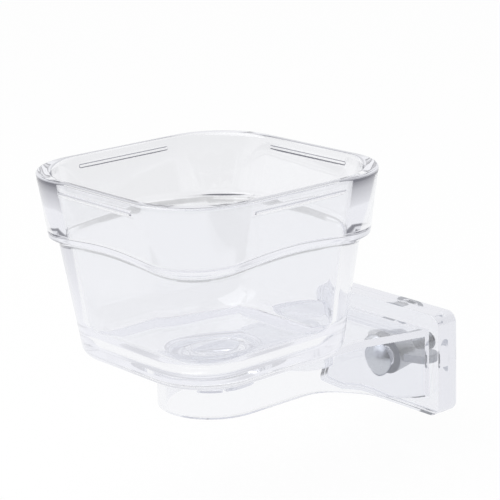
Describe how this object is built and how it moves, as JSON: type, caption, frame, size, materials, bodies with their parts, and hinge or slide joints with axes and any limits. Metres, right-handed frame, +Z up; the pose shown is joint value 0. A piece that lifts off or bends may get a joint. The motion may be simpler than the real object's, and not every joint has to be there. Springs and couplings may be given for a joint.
{
  "type": "seed cup",
  "caption": "Clear square seed cup on a round foot that twists into a bracket arm, with a flange and clamp plate that bolt to cage wires.",
  "frame": {"origin": "middle of the flange face that meets the cage", "axes": "+X into the cage wall, away from the cup; +Z up, along the cup's axis; +Y across the arm"},
  "size_m": [0.1499, 0.0898, 0.0958],
  "materials": {
    "clear_plastic": "clear, polished, as moulded",
    "zinc_steel": "bright zinc plated"
  },
  "bodies": {
    "bracket": {"bracket": "clear_plastic", "carriage_bolt": "zinc_steel"},
    "cup": {"cup": "clear_plastic"},
    "clamp": {"clamp_plate": "clear_plastic"},
    "nut": {"wing_nut": "zinc_steel"}
  },
  "joints": [
    {"name": "cup_twist", "type": "hinge", "parent": "bracket", "child": "cup", "pos_m": [-0.078, 0, 0.0126], "axis": [0, 0, 1], "range_deg": [0, 90]},
    {"name": "clamp_slide", "type": "slide", "parent": "bracket", "child": "clamp", "axis": [1, 0, 0], "range_m": [0, 0.01016]},
    {"name": "nut_spin", "type": "hinge", "parent": "clamp", "child": "nut", "pos_m": [0.0042, 0, -0.0034], "axis": [1, 0, 0], "range_deg": [0, 2880]}
  ],
  "couplings": [
    {"joint": "clamp_slide", "follows": "nut_spin", "m_per_rad": 0.00020213}
  ]
}
